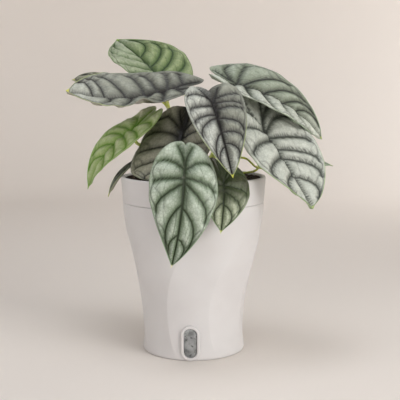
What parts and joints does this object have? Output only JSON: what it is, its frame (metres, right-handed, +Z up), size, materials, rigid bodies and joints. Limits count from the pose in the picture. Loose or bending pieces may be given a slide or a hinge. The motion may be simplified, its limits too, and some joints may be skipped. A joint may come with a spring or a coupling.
{
  "type": "potted silver dragon alocasia",
  "caption": "Alocasia with quilted silver arrowhead leaves on slender stems, rooted in soil in a white self-watering planter with a water level window.",
  "frame": {"origin": "centre of the pot's flat base, on the surface that it stands on", "axes": "+Z up along the pot's axis, -Y out of the water level window, +X to the right of it"},
  "size_m": [0.2557, 0.214, 0.3069],
  "materials": {
    "planter_plastic": "moulded white, satin",
    "window_plastic": "clear, frosted by water spots",
    "potting_mix": "dark and crumbly, with pale chips",
    "silver_leaf": "quilted silver green with dark veins, matt sheen",
    "green_leaf": "young green between silver, with bright veins",
    "leaf_stem": "pale yellow green, smooth"
  },
  "bodies": {
    "root": {"outer_pot": "planter_plastic", "inner_pot": "planter_plastic", "level_window": "window_plastic", "soil": "potting_mix", "leaf_front": "silver_leaf", "stem_front": "leaf_stem", "leaf_middle": "silver_leaf", "stem_middle": "leaf_stem", "leaf_small": "silver_leaf", "stem_small": "leaf_stem", "leaf_right": "silver_leaf", "stem_right": "leaf_stem", "leaf_upper_right": "silver_leaf", "stem_upper_right": "leaf_stem", "leaf_shade": "silver_leaf", "stem_shade": "leaf_stem", "leaf_green_left": "green_leaf", "stem_green_left": "leaf_stem", "leaf_long_left": "silver_leaf", "stem_long_left": "leaf_stem", "leaf_top_green": "green_leaf", "stem_top_green": "leaf_stem", "leaf_left_back": "silver_leaf", "stem_left_back": "leaf_stem", "leaf_low_left": "silver_leaf", "stem_low_left": "leaf_stem", "leaf_right_back": "silver_leaf", "stem_right_back": "leaf_stem"}
  },
  "joints": []
}
